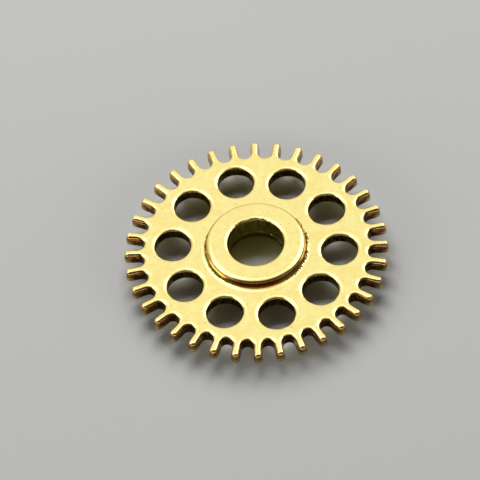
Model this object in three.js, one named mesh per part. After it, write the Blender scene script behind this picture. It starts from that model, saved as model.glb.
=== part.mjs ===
// A small spur gear: a toothed wheel with ten lightening holes, carried on a bored hub.
//
// Units are millimetres. +Z runs along the gear's axis from its rear to its front. The
// origin is on the axis, in the plane of the rear collar's outer face, which is the face
// the gear rests on. +X runs through the middle of one tooth.
//
// The gear comes apart into three pieces: the flat toothed wheel, the flanged bush that
// passes through it from the front, and the collar that closes the bush at the rear.

import * as THREE from 'three';

// ---------- driving dimensions ----------

const TOOTH_COUNT = 36;
const TIP_RADIUS = 13;            // outside diameter 26
const ROOT_RADIUS = 11.05;        // bottom of the round gaps between the teeth
const TOOTH_HALF_WIDTH = 0.44;    // at the tooth's thickest level
const TIP_CORNER_RADIUS = 0.34;

const WHEEL_THICKNESS = 1.2;
const TOP_EDGE = 0.15;            // height of the softened front edge
const BOTTOM_EDGE = 0.12;         // height of the softened rear edge

const HOLE_COUNT = 10;
const HOLE_CIRCLE_RADIUS = 8.18;
const HOLE_RADIUS = 1.78;
const HOLE_FIRST_ANGLE = -4.5;    // degrees from +X, close to the middle of a gap

const BORE_RADIUS = 2.79;
const BORE_LIP = 0.13;            // rounding where the bore meets each hub face
const HUB_BASE_RADIUS = 4.95;     // at the wheel
const HUB_RIM_RADIUS = 4.84;      // where the wall starts to round over
const HUB_FACE_RADIUS = 4.55;     // edge of the flat face
const HUB_RISE = 0.9;             // how far the hub stands off the wheel, on each side
const HUB_ROUND = 0.29;           // height of the rounded outer edge
const SHANK_RADIUS = 3.6;
const PRESS_CLEARANCE = 0.01;     // between the shank and the wheel's centre hole

// Facets along each round shape
const TIP_CORNER_STEPS = 3;
const GAP_STEPS = 6;
const HOLE_STEPS = 20;
const HUB_STEPS = 44;
const EDGE_STEPS = 3;

// ---------- levels ----------

const WHEEL_REAR = HUB_RISE;
const WHEEL_FRONT = WHEEL_REAR + WHEEL_THICKNESS;
const HUB_FRONT = WHEEL_FRONT + HUB_RISE;

// The wheel is cast with draft: every wall is fullest just above the rear face and leans
// inwards towards the front. Each level gives how far the teeth and the holes' walls
// stand back there from their fullest outline.
const WHEEL_LEVELS = [
  { z: WHEEL_REAR, toothInset: 0.08, holeInset: 0.08 },
  { z: WHEEL_REAR + BOTTOM_EDGE, toothInset: 0, holeInset: 0 },
  { z: WHEEL_FRONT - TOP_EDGE, toothInset: 0.11, holeInset: 0.06 },
  { z: WHEEL_FRONT, toothInset: 0.24, holeInset: 0.2 },
];

// ---------- materials ----------

const wheelMetal = new THREE.MeshStandardMaterial({
  color: 0xe6c36c, metalness: 1, roughness: 0.24,
});
const hubMetal = new THREE.MeshStandardMaterial({
  color: 0xdfba62, metalness: 1, roughness: 0.28,
});

// ---------- outlines ----------

// Points on an arc around (x, y), from one angle to another, both ends included.
function arcPoints(x, y, radius, fromAngle, toAngle, steps) {
  const points = [];
  for (let i = 0; i <= steps; i += 1) {
    const angle = fromAngle + ((toAngle - fromAngle) * i) / steps;
    points.push(new THREE.Vector2(x + radius * Math.cos(angle), y + radius * Math.sin(angle)));
  }
  return points;
}

function circlePoints(x, y, radius, steps) {
  return arcPoints(x, y, radius, 0, 2 * Math.PI, steps).slice(0, steps);
}

// One tooth and the gap after it, with the tooth's middle on +X. The tooth has parallel
// flanks and round corners, and the gap's bottom is an arc tangent to both flanks.
function toothAndGap(inset) {
  const halfPitch = Math.PI / TOOTH_COUNT;
  const cornerX = TIP_RADIUS - TIP_CORNER_RADIUS;
  const cornerY = TOOTH_HALF_WIDTH - TIP_CORNER_RADIUS;
  const cornerRadius = TIP_CORNER_RADIUS - inset;
  const gapCentre = (ROOT_RADIUS - TOOTH_HALF_WIDTH) / (1 - Math.sin(halfPitch));
  const gapRadius = gapCentre - ROOT_RADIUS + inset;
  const quarter = Math.PI / 2;
  const rightCorner = arcPoints(cornerX, -cornerY, cornerRadius, -quarter, 0, TIP_CORNER_STEPS);
  const leftCorner = arcPoints(cornerX, cornerY, cornerRadius, 0, quarter, TIP_CORNER_STEPS);
  const gap = arcPoints(
    gapCentre * Math.cos(halfPitch),
    gapCentre * Math.sin(halfPitch),
    gapRadius,
    3 * quarter,
    quarter + 2 * halfPitch,
    GAP_STEPS,
  );
  return [...rightCorner, ...leftCorner, ...gap];
}

function toothedOutline(inset) {
  const origin = new THREE.Vector2(0, 0);
  const outline = [];
  for (let tooth = 0; tooth < TOOTH_COUNT; tooth += 1) {
    const turn = (2 * Math.PI * tooth) / TOOTH_COUNT;
    for (const point of toothAndGap(inset)) {
      outline.push(point.rotateAround(origin, turn));
    }
  }
  return outline;
}

function holeCentre(index) {
  const angle = THREE.MathUtils.degToRad(HOLE_FIRST_ANGLE + (360 * index) / HOLE_COUNT);
  return [HOLE_CIRCLE_RADIUS * Math.cos(angle), HOLE_CIRCLE_RADIUS * Math.sin(angle)];
}

// ---------- solids ----------

// Adds one closed loop's points at every level and the walls between them. A loop is an
// array of levels, each an array of Vector2 with a z, and every level has as many points.
// Returns the number of the loop's first vertex.
function addWall(mesh, loop) {
  const first = mesh.positions.length / 3;
  const count = loop[0].points.length;
  for (const level of loop) {
    for (const point of level.points) {
      mesh.positions.push(point.x, point.y, level.z);
    }
  }
  for (let level = 0; level + 1 < loop.length; level += 1) {
    for (let i = 0; i < count; i += 1) {
      const a = first + level * count + i;
      const b = first + level * count + ((i + 1) % count);
      mesh.indices.push(a, b, b + count, a, b + count, a + count);
    }
  }
  return first;
}

// A plate between an outer loop, counter-clockwise, and its hole loops, clockwise.
function plateGeometry(outer, holes) {
  const mesh = { positions: [], indices: [] };
  const loops = [outer, ...holes];
  const firsts = loops.map((loop) => addWall(mesh, loop));
  for (const front of [false, true]) {
    const rings = loops.map((loop) => loop[front ? loop.length - 1 : 0].points);
    const numbers = rings.flatMap((ring, index) => {
      const start = firsts[index] + (front ? (loops[index].length - 1) * ring.length : 0);
      return ring.map((_, i) => start + i);
    });
    const faces = THREE.ShapeUtils.triangulateShape(rings[0], rings.slice(1));
    for (const [a, b, c] of faces) {
      const corners = front ? [a, b, c] : [a, c, b];
      mesh.indices.push(...corners.map((corner) => numbers[corner]));
    }
  }
  const geometry = new THREE.BufferGeometry();
  geometry.setAttribute('position', new THREE.Float32BufferAttribute(mesh.positions, 3));
  geometry.setIndex(mesh.indices);
  geometry.computeVertexNormals();
  return geometry;
}

// A ring turned around the Z axis from a closed profile of [radius, z] corners.
function turnedGeometry(corners) {
  const profile = [...corners, corners[0]].map(([radius, z]) => new THREE.Vector2(radius, z));
  const geometry = new THREE.LatheGeometry(profile, HUB_STEPS);
  geometry.rotateX(Math.PI / 2);
  return geometry;
}

// Profile of the hub's visible face, from the foot of its wall at z = 0 up over the round
// edge, across the flat face at z = HUB_RISE and round the bore's lip.
function hubFaceProfile() {
  const corners = [[HUB_BASE_RADIUS, 0]];
  const quarter = Math.PI / 2;
  for (let i = 0; i <= EDGE_STEPS; i += 1) {
    const angle = (quarter * i) / EDGE_STEPS;
    corners.push([
      HUB_FACE_RADIUS + (HUB_RIM_RADIUS - HUB_FACE_RADIUS) * Math.cos(angle),
      HUB_RISE - HUB_ROUND + HUB_ROUND * Math.sin(angle),
    ]);
  }
  for (let i = 0; i <= EDGE_STEPS; i += 1) {
    const angle = (quarter * i) / EDGE_STEPS;
    corners.push([
      BORE_RADIUS + BORE_LIP - BORE_LIP * Math.sin(angle),
      HUB_RISE - BORE_LIP + BORE_LIP * Math.cos(angle),
    ]);
  }
  return corners;
}

// ---------- pieces ----------

function toothedWheel() {
  const outer = WHEEL_LEVELS.map(({ z, toothInset }) => ({ z, points: toothedOutline(toothInset) }));
  const holes = [];
  for (let index = 0; index < HOLE_COUNT; index += 1) {
    const [x, y] = holeCentre(index);
    holes.push(WHEEL_LEVELS.map(({ z, holeInset }) => ({
      z,
      points: circlePoints(x, y, HOLE_RADIUS + holeInset, HOLE_STEPS).reverse(),
    })));
  }
  const centre = circlePoints(0, 0, SHANK_RADIUS + PRESS_CLEARANCE, HUB_STEPS).reverse();
  holes.push([WHEEL_REAR, WHEEL_FRONT].map((z) => ({ z, points: centre })));
  return new THREE.Mesh(plateGeometry(outer, holes), wheelMetal);
}

function hubBush() {
  const shank = [
    [BORE_RADIUS, -WHEEL_THICKNESS],
    [SHANK_RADIUS, -WHEEL_THICKNESS],
    [SHANK_RADIUS, 0],
  ];
  const bush = new THREE.Mesh(turnedGeometry([...shank, ...hubFaceProfile()]), hubMetal);
  bush.position.z = WHEEL_FRONT;
  return bush;
}

function rearCollar() {
  const profile = [[BORE_RADIUS, 0], ...hubFaceProfile()];
  const corners = profile.map(([radius, z]) => [radius, -z]).reverse();
  const collar = new THREE.Mesh(turnedGeometry(corners), hubMetal);
  collar.position.z = WHEEL_REAR;
  return collar;
}

// ---------- assembly ----------

const gear = new THREE.Group();
gear.name = 'spur_gear';

const pieces = {
  toothed_wheel: toothedWheel(),
  hub_bush: hubBush(),
  rear_collar: rearCollar(),
};
for (const [name, piece] of Object.entries(pieces)) {
  piece.name = name;
  gear.add(piece);
}

export default gear;
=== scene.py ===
"""The spur gear's looks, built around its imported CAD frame.

Lengths are worked out in millimetres and turned into metres when a mesh is made. The gear
stands on its rear collar, its axis on +Z, with the middle of one tooth on +X.
"""

import math

import bpy
import numpy as np
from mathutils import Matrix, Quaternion, Vector, noise
from mathutils.geometry import delaunay_2d_cdt


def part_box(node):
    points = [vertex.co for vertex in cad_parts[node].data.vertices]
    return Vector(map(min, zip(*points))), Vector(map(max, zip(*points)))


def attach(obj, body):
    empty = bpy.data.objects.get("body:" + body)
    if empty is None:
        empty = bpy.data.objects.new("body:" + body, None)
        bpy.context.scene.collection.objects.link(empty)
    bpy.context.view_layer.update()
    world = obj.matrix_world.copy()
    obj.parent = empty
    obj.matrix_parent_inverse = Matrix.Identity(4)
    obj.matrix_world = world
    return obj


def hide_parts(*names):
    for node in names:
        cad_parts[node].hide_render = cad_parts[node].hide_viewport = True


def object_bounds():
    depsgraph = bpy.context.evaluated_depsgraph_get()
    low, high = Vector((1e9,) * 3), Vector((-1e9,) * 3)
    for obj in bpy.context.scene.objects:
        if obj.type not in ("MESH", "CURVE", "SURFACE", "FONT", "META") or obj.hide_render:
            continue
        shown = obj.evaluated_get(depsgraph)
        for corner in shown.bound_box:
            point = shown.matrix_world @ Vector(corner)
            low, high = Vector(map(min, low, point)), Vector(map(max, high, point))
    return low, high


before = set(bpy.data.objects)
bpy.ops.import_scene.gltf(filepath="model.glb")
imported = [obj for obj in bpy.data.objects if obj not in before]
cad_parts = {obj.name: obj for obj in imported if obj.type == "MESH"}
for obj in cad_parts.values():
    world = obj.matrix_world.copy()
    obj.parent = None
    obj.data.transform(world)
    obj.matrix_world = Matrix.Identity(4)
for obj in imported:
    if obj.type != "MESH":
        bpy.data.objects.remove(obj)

cad_low, cad_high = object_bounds()

MM = 0.001
SHARP_ANGLE = 35
RNG = np.random.default_rng(36)

# ---------- sizes, in millimetres ----------

wheel_low, wheel_high = (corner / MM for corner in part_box("toothed_wheel"))
bush_low, bush_high = (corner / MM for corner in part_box("hub_bush"))

WHEEL_REAR = wheel_low.z
WHEEL_FRONT = wheel_high.z
HUB_FRONT = bush_high.z
HUB_RISE = HUB_FRONT - WHEEL_FRONT
TIP_RADIUS = wheel_high.x

TOOTH_COUNT = 36
ROOT_RADIUS = 11.05
TOOTH_HALF_WIDTH = 0.44
TIP_CORNER_RADIUS = 0.40
TOOTH_SCATTER = 0.012             # how much single teeth differ
WALL_WEAR = 0.03                  # how far walls and edges wander

HOLE_COUNT = 10
HOLE_CIRCLE_RADIUS = 8.18
HOLE_RADIUS = 1.78
HOLE_FIRST_ANGLE = -4.5

BORE_RADIUS = 2.77
HUB_BASE_RADIUS = bush_high.x
HUB_RIM_RADIUS = 4.84
RIM_FALL = 0.40                   # the fall-off on the hub's outer edge
RIM_EDGE_RADIUS = 0.26
RIM_TILT = 17
FOOT_WIDTH = 0.50                 # the shallow fillet between the hub's wall and the web
FOOT_TILT = 17
LIP_FALL = 0.32                   # and on the bore's edge
LIP_EDGE_RADIUS = 0.12
LIP_TILT = 22
LIP_WEAR = 0.05                   # how far the bore's edge wanders
SEAM_CHAMFER = 0.03               # on the bore's edges where bush and collar meet
SHANK_RADIUS = 3.6
PRESS_CLEARANCE = 0.01

# ---------- mesh building ----------


def arc(x, y, radius, start, end, steps):
    """Points on an arc around (x, y), both ends included."""
    angles = np.linspace(start, end, steps + 1)
    return np.stack([x + radius * np.cos(angles), y + radius * np.sin(angles)], axis=1)


def line(start, end, steps):
    """Points strictly between two points."""
    shares = np.linspace(0, 1, steps + 2)[1:-1, None]
    return np.asarray(start) * (1 - shares) + np.asarray(end) * shares


def turned(points, angle):
    """Points turned around the origin by an angle in radians."""
    c, s = math.cos(angle), math.sin(angle)
    return points @ np.array([[c, s], [-s, c]])


def worn(points, amount, scale, seed):
    """Points moved sideways by smooth noise with features about 1/scale mm wide."""
    shift = Vector((7.3 * seed, 3.1 * seed, 5.7 * seed))
    moves = np.array([noise.noise_vector(Vector(point) * scale + shift)[:] for point in points])
    moves[:, 2] = 0
    return points + np.reshape(amount, (-1, 1)) * moves


class Shell:
    """A closed surface collected ring by ring."""

    def __init__(self):
        self.points = []
        self.faces = []
        self.count = 0

    def ring(self, points):
        """Adds one ring of 3-D points and returns their numbers."""
        self.points.append(points)
        numbers = np.arange(self.count, self.count + len(points))
        self.count += len(points)
        return numbers

    def wall(self, below, above):
        """Joins two rings whose points match one to one."""
        for a, b, c, d in zip(below, np.roll(below, -1), np.roll(above, -1), above):
            self.faces.append((int(a), int(b), int(c), int(d)))

    def fan(self, rows):
        self.faces.extend(tuple(int(i) for i in row) for row in rows)

    def piece(self, name):
        mesh = bpy.data.meshes.new(name)
        mesh.from_pydata((np.concatenate(self.points) * MM).tolist(), [], self.faces)
        mesh.validate()
        mesh.polygons.foreach_set("use_smooth", [True] * len(mesh.polygons))
        mesh.set_sharp_from_angle(angle=math.radians(SHARP_ANGLE))
        mesh.update()
        made = bpy.data.objects.new(name, mesh)
        bpy.context.scene.collection.objects.link(made)
        return made


# ---------- the toothed wheel ----------

def rollover(width, radius, tilt):
    """An edge as [back, drop] from a wall up to a flat face: a tight arc, then a long fall-off.

    The arc turns from upright to the tilt given in degrees, and the fall-off eases it to level.
    """
    tilt = math.radians(tilt)
    fall = 0.5 * math.tan(tilt) * width
    rows = []
    for angle in np.linspace(math.pi / 2, tilt, 9):
        rows.append((radius * (1 - math.sin(angle)), fall + radius * (math.cos(tilt) - math.cos(angle))))
    for share in np.linspace(0, 1, 9)[1:]:
        rows.append((radius * (1 - math.sin(tilt)) + width * share, fall * (1 - share) ** 2))
    return rows


THICKNESS = WHEEL_FRONT - WHEEL_REAR
REAR_ROUND = 0.12

# Draft, then the front edge's arc radius, tilt and fall-off width.
TOOTH_EDGE = (0.06, 0.28, 17, 0.13)
GAP_EDGE = (0.06, 0.13, 21, 0.31)
HOLE_EDGE = (0.02, 0.10, 21, 0.36)


def wall_profile(draft, radius, tilt, fall_width):
    """[height over the rear face, how far the wall stands back there], rear to front."""
    rows = []
    for angle in np.radians([0, 18, 36, 54, 72, 90]):
        rows.append((REAR_ROUND * (1 - math.cos(angle)), 0.10 * (1 - math.sin(angle))))
    edge = rollover(fall_width, radius, tilt)
    top = THICKNESS - edge[0][1]
    for share in (0.12, 0.25, 0.4, 0.55, 0.7, 0.85):
        rows.append((REAR_ROUND + share * (top - REAR_ROUND), draft * share))
    rows += [(THICKNESS - drop, draft + back) for back, drop in edge]
    return rows


def tooth_and_gap(tooth, gap, half_width, tip):
    """One tooth, its middle on +X, and the gap after it, as points for one row of the wall.

    Tooth and gap are the row's [height, inset] on each, and the gap's arc blends them.
    """
    half_pitch = math.pi / TOOTH_COUNT
    quarter = math.pi / 2
    gap_centre = (ROOT_RADIUS - TOOTH_HALF_WIDTH) / (1 - math.sin(half_pitch))
    corner_x = tip - TIP_CORNER_RADIUS
    corner_y = half_width - TIP_CORNER_RADIUS
    radius = TIP_CORNER_RADIUS - tooth[1]
    right = arc(corner_x, -corner_y, radius, -quarter, 0, 8)
    left = arc(corner_x, corner_y, radius, 0, quarter, 8)
    angles = np.linspace(3 * quarter, quarter + 2 * half_pitch, 19)
    depth = np.abs(np.sin(np.linspace(0, math.pi, 19))) ** 0.7
    gap_radius = gap_centre - ROOT_RADIUS + tooth[1] + (gap[1] - tooth[1]) * depth
    floor_arc = np.stack([
        gap_centre * math.cos(half_pitch) + gap_radius * np.cos(angles),
        gap_centre * math.sin(half_pitch) + gap_radius * np.sin(angles),
    ], axis=1)
    before = turned(floor_arc[-1:], -2 * half_pitch)[0]
    flanks = line(before, right[0], 6), line(left[-1], floor_arc[0], 6)
    outline = np.concatenate([flanks[0], right, left, flanks[1], floor_arc])
    heights = np.full(len(outline), tooth[0])
    heights[-len(depth):] += (gap[0] - tooth[0]) * depth
    return np.column_stack([outline, WHEEL_REAR + heights])


def toothed_ring(tooth, gap, widths, tips):
    rings = []
    for index, (half_width, tip) in enumerate(zip(widths, tips)):
        points = tooth_and_gap(tooth, gap, half_width, tip)
        points[:, :2] = turned(points[:, :2], 2 * math.pi * index / TOOTH_COUNT)
        rings.append(points)
    return worn(np.concatenate(rings), WALL_WEAR, 2.2, 1)


def hole_centres():
    angles = np.radians(HOLE_FIRST_ANGLE + 360 / HOLE_COUNT * np.arange(HOLE_COUNT))
    return HOLE_CIRCLE_RADIUS * np.stack([np.cos(angles), np.sin(angles)], axis=1)


def inside(points, loop):
    """Which points lie inside a closed loop."""
    found = np.zeros(len(points), bool)
    x, y = points[:, 0], points[:, 1]
    for (x0, y0), (x1, y1) in zip(loop, np.roll(loop, -1, axis=0)):
        if y0 == y1:
            continue
        crosses = (y0 > y) != (y1 > y)
        found ^= crosses & (x < (x1 - x0) * (y - y0) / (y1 - y0) + x0)
    return found


def field_points(loops, spacing):
    """A jittered grid of points on the flat face, clear of every loop."""
    steps = np.arange(-TIP_RADIUS, TIP_RADIUS, spacing)
    x, y = (side.ravel() for side in np.meshgrid(steps, steps))
    grid = np.stack([x, y], axis=1) + RNG.uniform(-0.3, 0.3, (len(x), 2)) * spacing
    keep = inside(grid, loops[0])
    for loop in loops[1:]:
        keep &= ~inside(grid, loop)
    grid = grid[keep]
    edges = np.concatenate(loops)
    clear = [np.hypot(*(edges - point).T).min() > 0.45 * spacing for point in grid]
    return grid[np.array(clear)]


def flat_face(shell, rings, loops, z, front):
    """Fills the flat face between the loops, whose points are already in the shell."""
    field = field_points(loops, 0.42)
    numbers = np.concatenate(rings + [shell.ring(np.column_stack([field, np.full(len(field), z)]))])
    flat = np.concatenate(loops + [field])
    edges, start = [], 0
    for loop in loops:
        count = len(loop)
        edges += [(start + i, start + (i + 1) % count) for i in range(count)]
        start += count
    made = delaunay_2d_cdt([Vector(p) for p in flat], edges, [], 0, 1e-7, True)
    places = np.array([v[:] for v in made[0]])
    source = np.array([ids[0] for ids in made[3]])
    faces = np.array([face for face in made[2] if len(face) == 3])
    centres = places[faces].mean(axis=1)
    keep = inside(centres, loops[0])
    for loop in loops[1:]:
        keep &= ~inside(centres, loop)
    faces = faces[keep]
    a, b, c = (places[faces[:, i]] for i in range(3))
    spin = (b[:, 0] - a[:, 0]) * (c[:, 1] - a[:, 1]) - (b[:, 1] - a[:, 1]) * (c[:, 0] - a[:, 0])
    faces = np.where((spin > 0)[:, None] == front, faces, faces[:, ::-1])
    shell.fan(numbers[source[faces]])


def toothed_wheel():
    shell = Shell()
    loops = {"rear": [], "front": []}
    rings = {"rear": [], "front": []}

    def add_wall(outlines):
        numbers = [shell.ring(outline) for outline in outlines]
        for below, above in zip(numbers, numbers[1:]):
            shell.wall(below, above)
        for side, index in (("rear", 0), ("front", -1)):
            loops[side].append(outlines[index][:, :2])
            rings[side].append(numbers[index])

    widths = TOOTH_HALF_WIDTH + RNG.uniform(-1, 1, TOOTH_COUNT) * TOOTH_SCATTER
    tips = TIP_RADIUS - RNG.uniform(0, 2, TOOTH_COUNT) * TOOTH_SCATTER
    rows = zip(wall_profile(*TOOTH_EDGE), wall_profile(*GAP_EDGE))
    add_wall([toothed_ring(tooth, gap, widths, tips) for tooth, gap in rows])

    angles = np.linspace(0, -2 * math.pi, 97)[:-1]
    circle = np.stack([np.cos(angles), np.sin(angles)], axis=1)
    for index, centre in enumerate(hole_centres()):
        wobble = 0.012 * np.sin(2 * angles + index) + 0.006 * np.sin(3 * angles + 2 * index)
        add_wall([
            worn(np.column_stack([
                centre + circle * (HOLE_RADIUS + wobble + back)[:, None],
                np.full(len(circle), WHEEL_REAR + height),
            ]), WALL_WEAR, 2.2, 2)
            for height, back in wall_profile(*HOLE_EDGE)
        ])

    angles = np.linspace(0, -2 * math.pi, 129)[:-1]
    seat = (SHANK_RADIUS + PRESS_CLEARANCE) * np.stack([np.cos(angles), np.sin(angles)], axis=1)
    heights = np.linspace(WHEEL_REAR, WHEEL_FRONT, 5)
    add_wall([np.column_stack([seat, np.full(len(seat), z)]) for z in heights])
    flat_face(shell, rings["rear"], loops["rear"], WHEEL_REAR, False)
    flat_face(shell, rings["front"], loops["front"], WHEEL_FRONT, True)
    return shell.piece("gilt_toothed_wheel")


# ---------- the hub ----------

HUB_STEPS = 360


def hub_face_profile():
    """[radius, z] from the foot of the hub's wall over its face and into the bore."""
    rim = rollover(RIM_FALL, RIM_EDGE_RADIUS, RIM_TILT)
    foot = 0.5 * math.tan(math.radians(FOOT_TILT)) * FOOT_WIDTH
    rows = []
    for share in np.linspace(1, 0, 9):
        rows.append((HUB_BASE_RADIUS + share * FOOT_WIDTH, foot * (1 - share) ** 2))
    top = HUB_RISE - rim[0][1]
    for share in (0.12, 0.3, 0.55, 0.8):
        radius = HUB_BASE_RADIUS + share * (HUB_RIM_RADIUS - HUB_BASE_RADIUS)
        rows.append((radius, foot + share * (top - foot)))
    rows += [(HUB_RIM_RADIUS - back, HUB_RISE - drop) for back, drop in rim]
    lip = rollover(LIP_FALL, LIP_EDGE_RADIUS, LIP_TILT)
    inner = BORE_RADIUS + lip[-1][0]
    outer = HUB_RIM_RADIUS - rim[-1][0]
    for share in np.linspace(0, 1, 9)[1:-1]:
        rows.append((outer + share * (inner - outer), HUB_RISE))
    rows += [(BORE_RADIUS + back, HUB_RISE - drop) for back, drop in lip[::-1]]
    return rows


def revolve(profile, name):
    """A ring turned around Z from a closed counter-clockwise profile of (radius, z)."""
    shell = Shell()
    angles = np.linspace(0, 2 * math.pi, HUB_STEPS + 1)[:-1]
    circle = np.stack([np.cos(angles), np.sin(angles)], axis=1)
    wear = LIP_WEAR * np.clip(circle[:, 1], 0.2, 1.0)
    rings = []
    for radius, z in profile:
        ring = np.column_stack([circle * radius, np.full(HUB_STEPS, z)])
        lip = abs(radius - BORE_RADIUS) < LIP_EDGE_RADIUS and abs(z - WHEEL_FRONT) > 0.5 * HUB_RISE
        rings.append(shell.ring(worn(ring, wear, 3.2, 3) if lip else ring))
    for below, above in zip(rings, rings[1:] + rings[:1]):
        shell.wall(below, above)
    return shell.piece(name)


def hub_bush():
    shank = [
        (BORE_RADIUS, WHEEL_FRONT - 0.5 * THICKNESS),
        (BORE_RADIUS, WHEEL_REAR + 3 * SEAM_CHAMFER),
        (BORE_RADIUS, WHEEL_REAR + SEAM_CHAMFER),
        (BORE_RADIUS + SEAM_CHAMFER, WHEEL_REAR),
        (SHANK_RADIUS, WHEEL_REAR),
        (SHANK_RADIUS, WHEEL_FRONT),
    ]
    face = [(radius, WHEEL_FRONT + z) for radius, z in hub_face_profile()]
    return revolve(shank + face, "gilt_hub_bush")


def rear_collar():
    face = [(radius, WHEEL_REAR - z) for radius, z in hub_face_profile()]
    inner = [
        (BORE_RADIUS, WHEEL_REAR - 3 * SEAM_CHAMFER),
        (BORE_RADIUS, WHEEL_REAR - SEAM_CHAMFER),
        (BORE_RADIUS + SEAM_CHAMFER, WHEEL_REAR),
    ]
    return revolve((face + inner)[::-1], "gilt_rear_collar")


# ---------- materials ----------


class Graph:
    """Short ways to add shader nodes to one material."""

    def __init__(self, name):
        self.material = bpy.data.materials.new(name)
        self.material.use_nodes = True
        self.tree = self.material.node_tree
        self.shader = self.tree.nodes["Principled BSDF"]
        coordinates = self.node("ShaderNodeTexCoord")
        self.place = self.vector("SCALE", coordinates.outputs["Object"], scale=1 / MM)

    def node(self, kind, **settings):
        made = self.tree.nodes.new(kind)
        for key, value in settings.items():
            setattr(made, key, value)
        return made

    def link(self, output, socket):
        self.tree.links.new(output, socket)

    def put(self, socket, value):
        if isinstance(value, bpy.types.NodeSocket):
            self.link(value, socket)
        else:
            socket.default_value = value

    def vector(self, operation, first, second=None, scale=None):
        made = self.node("ShaderNodeVectorMath", operation=operation)
        self.put(made.inputs[0], first)
        if second is not None:
            self.put(made.inputs[1], second)
        if scale is not None:
            made.inputs["Scale"].default_value = scale
        return made.outputs["Value" if operation == "LENGTH" else "Vector"]

    def math(self, operation, first, second=0.0):
        made = self.node("ShaderNodeMath", operation=operation)
        self.put(made.inputs[0], first)
        self.put(made.inputs[1], second)
        return made.outputs[0]

    def ramp(self, value, low, high, start=0.0, end=1.0):
        """A smooth step from start to end as value goes from low to high."""
        made = self.node("ShaderNodeMapRange", interpolation_type="SMOOTHSTEP")
        self.put(made.inputs["Value"], value)
        made.inputs["From Min"].default_value = low
        made.inputs["From Max"].default_value = high
        made.inputs["To Min"].default_value = start
        made.inputs["To Max"].default_value = end
        return made.outputs["Result"]

    def mix(self, share, first, second):
        made = self.node("ShaderNodeMix", data_type="RGBA")
        self.put(made.inputs[0], share)
        self.put(made.inputs[6], first)
        self.put(made.inputs[7], second)
        return made.outputs[2]

    def noise(self, scale, detail=3.0, roughness=0.5, stretch=(1, 1, 1), shift=0.0):
        """Noise with about scale features to a millimetre."""
        place = self.vector("MULTIPLY", self.place, stretch)
        place = self.vector("ADD", place, (shift, shift, shift))
        made = self.node("ShaderNodeTexNoise")
        self.link(place, made.inputs["Vector"])
        made.inputs["Scale"].default_value = scale
        made.inputs["Detail"].default_value = detail
        made.inputs["Roughness"].default_value = roughness
        return made.outputs["Fac"]


GOLD = (0.945, 0.875, 0.385, 1)
GOLD_WARM = (0.925, 0.80, 0.31, 1)
HONEY = (0.90, 0.66, 0.22, 1)
AMBER = (0.74, 0.46, 0.12, 1)
ORANGE = (0.90, 0.55, 0.20, 1)
COPPER_PAINTED_HIGHLIGHT = (0.90, 0.36, 0.10, 1)
BROWN_TARNISH_AND_SHADE = (0.42, 0.19, 0.04, 1)
RUST_AND_PAINTED_SHADE = (0.40, 0.115, 0.008, 1)
UMBER_WARM_PATINA_AND_SHADE = (0.32, 0.13, 0.025, 1)
UMBER_PATINA_AND_SHADE = (0.06, 0.026, 0.008, 1)
OLIVE_PAINTED_REFLECTION = (0.46, 0.42, 0.15, 1)
BORE_OLIVE_PAINTED_REFLECTION = (0.72, 0.70, 0.20, 1)
BORE_DARK_PAINTED_SHADE = (0.34, 0.30, 0.10, 1)
HOLE_SHADE_DARK = (0.10, 0.07, 0.02, 1)
HOLE_SHADE_LIGHT = (0.34, 0.26, 0.08, 1)
DIRT = (0.14, 0.072, 0.016, 1)


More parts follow.
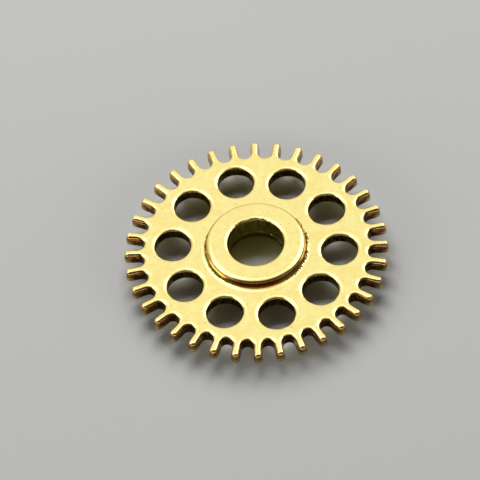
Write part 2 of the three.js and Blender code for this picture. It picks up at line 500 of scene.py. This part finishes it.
class Gilt(Graph):
    """Polished gilt, with what both of the gear's gilt materials need."""

    def __init__(self, name):
        super().__init__(name)
        place = self.node("ShaderNodeSeparateXYZ")
        self.link(self.place, place.inputs[0])
        self.x, self.y, self.z = place.outputs
        self.radius = self.vector("LENGTH", self.vector("MULTIPLY", self.place, (1, 1, 0)))
        normal = self.node("ShaderNodeSeparateXYZ")
        self.link(self.node("ShaderNodeNewGeometry").outputs["Normal"], normal.inputs[0])
        upright = self.math("ABSOLUTE", normal.outputs["Z"])
        self.steep = self.ramp(upright, 0.05, 0.42, 1, 0)
        self.tilted = self.ramp(upright, 0.80, 0.98, 1, 0)
        self.shoulder = self.ramp(upright, 0.50, 0.80, 1, 0)
        self.grain = self.noise(7, detail=4, roughness=0.6, shift=3.7)
        self.streaks = self.noise(3.4, detail=4, roughness=0.6, stretch=(1, 1, 0.35), shift=9.1)
        clouds = self.noise(0.8, detail=7, roughness=0.8)
        face = self.mix(self.ramp(clouds, 0.38, 0.62), GOLD, GOLD_WARM)
        face = self.mix(self.tilted, face, HONEY)
        self.face = self.mix(self.shoulder, face, ORANGE)
        self.specks = self.math("MULTIPLY", self.spots(), self.ramp(upright, 0.9, 0.98))

    def spots(self):
        """A few small dark pits, each alone in its cell of a grid."""
        cells = self.node("ShaderNodeTexVoronoi", voronoi_dimensions="2D")
        self.link(self.place, cells.inputs["Vector"])
        cells.inputs["Scale"].default_value = 1.2
        chance = self.node("ShaderNodeSeparateXYZ")
        self.link(cells.outputs["Color"], chance.inputs[0])
        dark = self.ramp(cells.outputs["Distance"], 0.03, 0.08, 1, 0)
        return self.math("MULTIPLY", dark, self.ramp(chance.outputs["X"], 0.84, 0.96, 0, 0.9))

    def band(self, low, high, soft):
        """1 between two heights, fading to 0 beyond them."""
        above = self.ramp(self.z, low - soft, low + soft, 0, 1)
        return self.math("MULTIPLY", above, self.ramp(self.z, high - soft, high + soft, 1, 0))

    def residue(self):
        """Brown dirt round the foot of the hub: a thin line with a fringe on its right and left."""
        side = self.math("DIVIDE", self.x, self.radius)
        right = self.ramp(side, 0.25, 0.95, 0.03, 0.42)
        left = self.ramp(side, -0.95, -0.3, 0.27, 0)
        outside = self.math("SUBTRACT", self.radius, HUB_BASE_RADIUS)
        share = self.math("DIVIDE", outside, self.math("ADD", right, left))
        grit = self.noise(5.5, detail=4, roughness=0.8, shift=5.2)
        grit = self.math("SUBTRACT", grit, self.math("MULTIPLY", share, 0.30))
        fringe = self.math("MULTIPLY", self.ramp(grit, 0.30, 0.42), self.ramp(outside, -0.02, 0.0))
        line = self.math("MULTIPLY", self.ramp(outside, -0.07, -0.03), self.ramp(outside, 0.02, 0.06, 1, 0))
        return self.math("MAXIMUM", fringe, self.math("MULTIPLY", line, 0.8))

    def finish(self, colour, dull):
        """Sets the shader. Dull goes from 0, polished, to 1, matt."""
        self.link(colour, self.shader.inputs["Base Color"])
        self.shader.inputs["Metallic"].default_value = 1.0
        shine = self.ramp(self.grain, 0.3, 0.7, 0.12, 0.20)
        shine = self.math("ADD", shine, self.math("MULTIPLY", dull, 0.45))
        self.link(shine, self.shader.inputs["Roughness"])
        bump = self.node("ShaderNodeBump")
        bump.inputs["Strength"].default_value = 0.25
        bump.inputs["Distance"].default_value = 0.01 * MM
        rough_wall = self.math("MULTIPLY", self.streaks, self.math("MULTIPLY", self.steep, 3.0))
        self.link(self.math("ADD", self.grain, rough_wall), bump.inputs["Height"])
        self.link(bump.outputs["Normal"], self.shader.inputs["Normal"])
        return self.material


def wheel_gilt():
    """The wheel: walls almost black, partly patina and partly painted shade; gilt on their shoulders; a painted
    copper highlight band on the flanks, and a painted reflection making the tips paler low down.
    """
    g = Gilt("wheel_gilt")
    # Walls near-black: partly patina, partly painted shade for the dark surroundings they reflect.
    wall = g.mix(g.ramp(g.streaks, 0.50, 0.74), UMBER_PATINA_AND_SHADE, UMBER_WARM_PATINA_AND_SHADE)
    # A painted highlight: a copper band a little below the top edge of the tooth flanks.
    painted_highlight_stripe = g.math("MULTIPLY", g.band(WHEEL_FRONT - 0.46, WHEEL_FRONT - 0.34, 0.05), g.ramp(g.streaks, 0.35, 0.55))
    painted_highlight_stripe = g.math("MULTIPLY", painted_highlight_stripe, g.ramp(g.radius, ROOT_RADIUS + 0.2, ROOT_RADIUS + 0.6))
    wall = g.mix(painted_highlight_stripe, wall, COPPER_PAINTED_HIGHLIGHT)
    # Painted reflection: the tips turn paler and olive towards the rear face.
    low = g.ramp(g.z, WHEEL_REAR + 0.30, WHEEL_REAR + 0.75, 1, 0)
    tips = g.math("MULTIPLY", g.ramp(g.radius, TIP_RADIUS - 0.9, TIP_RADIUS - 0.3), low)
    wall = g.mix(tips, wall, OLIVE_PAINTED_REFLECTION)
    # The hole walls are dark olive-brown: partly patina, partly painted shade.
    hole_wall_shade = g.ramp(g.radius, HOLE_CIRCLE_RADIUS + HOLE_RADIUS + 0.1, HOLE_CIRCLE_RADIUS + HOLE_RADIUS + 0.3, 1, 0)
    wall = g.mix(hole_wall_shade, wall, g.mix(g.ramp(g.streaks, 0.4, 0.66), HOLE_SHADE_DARK, HOLE_SHADE_LIGHT))
    # Painted shade: near the gap bottoms the shoulders also take the dark wall colour, which dims their highlight.
    gap_shoulder_shade = g.ramp(g.radius, HOLE_CIRCLE_RADIUS + HOLE_RADIUS + 0.3, HOLE_CIRCLE_RADIUS + HOLE_RADIUS + 0.5)
    gap_shoulder_shade = g.math("MULTIPLY", gap_shoulder_shade, g.ramp(g.radius, ROOT_RADIUS + 0.35, ROOT_RADIUS + 0.8, 1, 0))
    colour = g.mix(g.math("MAXIMUM", g.steep, g.math("MULTIPLY", g.shoulder, gap_shoulder_shade)), g.face, wall)
    dirt = g.math("MULTIPLY", g.residue(), g.ramp(g.z, WHEEL_FRONT - 0.1, WHEEL_FRONT - 0.05))
    dirt = g.math("MAXIMUM", dirt, g.specks)
    return g.finish(g.mix(dirt, colour, DIRT), dirt)


def hub_gilt():
    """The bush and the collar: gold at the sides; rust-brown in front, partly tarnish and partly painted shade; a
    painted olive reflection in the bore; painted shade in the collar's bore and on the far rim; a painted highlight
    on the front of the foot; dark foot.
    """
    g = Gilt("hub_gilt")
    wall = g.mix(g.ramp(g.streaks, 0.36, 0.62), AMBER, HONEY)
    # In front the hub's wall is rust-brown: partly tarnish, partly painted shade.
    front = g.ramp(g.math("DIVIDE", g.y, g.radius), -0.96, -0.78, 1, 0)
    wall = g.mix(front, wall, g.mix(g.ramp(g.streaks, 0.44, 0.72), RUST_AND_PAINTED_SHADE, BROWN_TARNISH_AND_SHADE))
    # Painted reflection: an olive tint on the bore wall, with darker streaks.
    bore = g.ramp(g.radius, BORE_RADIUS + 0.2, BORE_RADIUS + 0.5, 1, 0)
    wall = g.mix(bore, wall, g.mix(g.ramp(g.streaks, 0.3, 0.6), BORE_DARK_PAINTED_SHADE, BORE_OLIVE_PAINTED_REFLECTION))
    # Painted shade: darker in the collar's bore, below the wheel.
    below = g.math("MULTIPLY", bore, g.ramp(g.z, WHEEL_REAR - 0.05, WHEEL_REAR, 1, 0))
    wall = g.mix(below, wall, BORE_DARK_PAINTED_SHADE)
    # In front the shoulders also take the wall colour: painted shade that dims their highlight.
    colour = g.mix(g.math("MAXIMUM", g.steep, g.math("MULTIPLY", g.shoulder, front)), g.face, wall)
    # Painted shade: brown on the far side of the rim's rollover.
    far_rim_shade = g.math("MULTIPLY", g.ramp(g.math("DIVIDE", g.y, g.radius), 0.1, 0.5), g.tilted)
    outer = g.ramp(g.radius, HUB_RIM_RADIUS - 0.24, HUB_RIM_RADIUS - 0.12)
    colour = g.mix(g.math("MULTIPLY", far_rim_shade, outer), colour, BROWN_TARNISH_AND_SHADE)
    # A painted highlight: orange on the front of the foot's fillet.
    fillet = g.ramp(g.radius, HUB_BASE_RADIUS - 0.02, HUB_BASE_RADIUS + 0.02)
    fillet = g.math("MULTIPLY", fillet, g.ramp(g.radius, HUB_BASE_RADIUS + 0.1, HUB_BASE_RADIUS + 0.4, 1, 0))
    fillet = g.math("MULTIPLY", fillet, 0.5)
    colour = g.mix(g.math("MULTIPLY", fillet, front), colour, ORANGE)
    foot = g.math("MULTIPLY", g.residue(), g.band(WHEEL_REAR - 0.14, WHEEL_FRONT + 0.14, 0.04))
    foot = g.math("MAXIMUM", foot, g.specks)
    return g.finish(g.mix(foot, colour, DIRT), foot)


def pale_floor():
    material = bpy.data.materials.new("pale_floor")
    material.use_nodes = True
    shader = material.node_tree.nodes["Principled BSDF"]
    shader.inputs["Base Color"].default_value = (0.62, 0.62, 0.61, 1)
    shader.inputs["Roughness"].default_value = 0.85
    shader.inputs["Specular IOR Level"].default_value = 0.2
    return material


# ---------- assembly ----------

wheel = toothed_wheel()
bush = hub_bush()
collar = rear_collar()
wheel_finish = wheel_gilt()
hub_finish = hub_gilt()

for piece, node, slot, material in (
    (wheel, "toothed_wheel", "wheel_gilt", wheel_finish),
    (bush, "hub_bush", "hub_gilt", hub_finish),
    (collar, "rear_collar", "hub_gilt", hub_finish),
):
    piece.data.materials.append(material)
    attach(piece, "root")
    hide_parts(node)

# ---------- floor, light and camera ----------

FLOOR_HALF = 2.0                  # metres, like the rest of this section

floor_mesh = bpy.data.meshes.new("floor")
floor_mesh.from_pydata(
    [(x * FLOOR_HALF, y * FLOOR_HALF, cad_low.z) for x, y in ((-1, -1), (1, -1), (1, 1), (-1, 1))],
    [], [(0, 1, 2, 3)],
)
floor = bpy.data.objects.new("floor", floor_mesh)
floor.data.materials.append(pale_floor())
bpy.context.scene.collection.objects.link(floor)


def look(position, target):
    return (Vector(target) - Vector(position)).to_track_quat("-Z", "Y")


def softbox(name, azimuth, elevation, distance, width, height, radiance, fill=False):
    """An area light aimed at the gear, placed the way the camera is placed.

    A fill lights only the floor. The others are for the gilt, and leave the floor alone.
    """
    a, e = math.radians(azimuth), math.radians(elevation)
    position = distance * Vector((math.sin(a) * math.cos(e), -math.cos(a) * math.cos(e), math.sin(e)))
    data = bpy.data.lights.new(name, "AREA")
    data.shape = "RECTANGLE"
    data.size = width
    data.size_y = height
    data.energy = radiance * math.pi * width * height
    light = bpy.data.objects.new(name, data)
    light.location = position
    light.rotation_mode = "QUATERNION"
    light.rotation_quaternion = look(position, (0, 0, 0))
    light.visible_camera = False
    light.visible_glossy = not fill
    light.visible_diffuse = fill
    bpy.context.scene.collection.objects.link(light)
    return light


softbox("back_softbox", 184, 52, 0.60, 0.50, 0.40, 0.10)
softbox("top_softbox", 190, 76, 0.55, 0.46, 0.22, 0.50)
softbox("hot_softbox", 224, 64, 0.55, 0.26, 0.22, 1.2)
softbox("left_softbox", 272, 44, 0.55, 0.34, 0.34, 1.9)
softbox("right_softbox", 128, 48, 0.55, 0.38, 0.34, 1.8)
softbox("front_softbox", 350, 9, 0.70, 1.30, 0.08, 1.7)
softbox("back_fill", 190, 38, 0.60, 0.55, 0.35, 7.0, fill=True)
softbox("left_fill", 300, 16, 0.60, 0.60, 0.25, 3.0, fill=True)
softbox("right_fill", 60, 16, 0.60, 0.60, 0.25, 3.0, fill=True)


ROOM_AHEAD = (0.05, 0.042, 0.035, 1)
ROOM_HORIZON = (0.36, 0.33, 0.29, 1)
ROOM_BEHIND = (0.95, 0.89, 0.80, 1)
BACKDROP = (0.6, 0.6, 0.6, 1)


def studio():
    """A warm room, bright behind the gear and dark in front, with a pale wall for the camera."""
    world = bpy.data.worlds.new("studio")
    world.use_nodes = True
    bpy.context.scene.world = world
    world.cycles_visibility.diffuse = False
    nodes, links = world.node_tree.nodes, world.node_tree.links

    def share(value, low, high, start, end):
        step = nodes.new("ShaderNodeMapRange")
        step.interpolation_type = "SMOOTHSTEP"
        links.new(value, step.inputs["Value"])
        for name, number in (("From Min", low), ("From Max", high), ("To Min", start), ("To Max", end)):
            step.inputs[name].default_value = number
        return step.outputs["Result"]

    def mix(amount, first, second):
        made = nodes.new("ShaderNodeMix")
        made.data_type = "RGBA"
        links.new(amount, made.inputs[0])
        for socket, colour in ((made.inputs[6], first), (made.inputs[7], second)):
            if isinstance(colour, bpy.types.NodeSocket):
                links.new(colour, socket)
            else:
                socket.default_value = colour
        return made.outputs[2]

    direction = nodes.new("ShaderNodeTexCoord").outputs["Generated"]
    parts = nodes.new("ShaderNodeSeparateXYZ")
    links.new(direction, parts.inputs[0])
    toward = nodes.new("ShaderNodeVectorMath")
    toward.operation = "DOT_PRODUCT"
    toward.inputs[1].default_value = Vector((-0.05, 0.95, 0.30)).normalized()
    links.new(direction, toward.inputs[0])
    ahead = mix(share(parts.outputs["Z"], 0.12, 0.38, 1, 0), ROOM_AHEAD, ROOM_HORIZON)
    room = mix(share(toward.outputs["Value"], 0.12, 0.88, 0, 1), ahead, ROOM_BEHIND)
    seen = mix(nodes.new("ShaderNodeLightPath").outputs["Is Camera Ray"], room, BACKDROP)
    links.new(seen, nodes["Background"].inputs["Color"])


studio()
bpy.context.scene.view_settings.view_transform = "Standard"

CAMERA_AIM = Vector((-1.564, 0.975, WHEEL_FRONT)) * MM
CAMERA_AZIMUTH = 3.80
CAMERA_ELEVATION = 54.10
CAMERA_DISTANCE = 0.46285
CAMERA_ROLL = -5.417
CAMERA_LENS = 354.46

a, e = math.radians(CAMERA_AZIMUTH), math.radians(CAMERA_ELEVATION)
back = Vector((math.sin(a) * math.cos(e), -math.cos(a) * math.cos(e), math.sin(e)))
camera_data = bpy.data.cameras.new("camera")
camera_data.sensor_width = 36
camera_data.lens = CAMERA_LENS
camera_data.clip_start = 0.01
camera_data.clip_end = 10
camera = bpy.data.objects.new("camera", camera_data)
camera.location = CAMERA_AIM + CAMERA_DISTANCE * back
camera.rotation_mode = "QUATERNION"
roll = Quaternion((0, 0, 1), math.radians(CAMERA_ROLL))
camera.rotation_quaternion = (-back).to_track_quat("-Z", "Y") @ roll
bpy.context.scene.collection.objects.link(camera)
bpy.context.scene.camera = camera
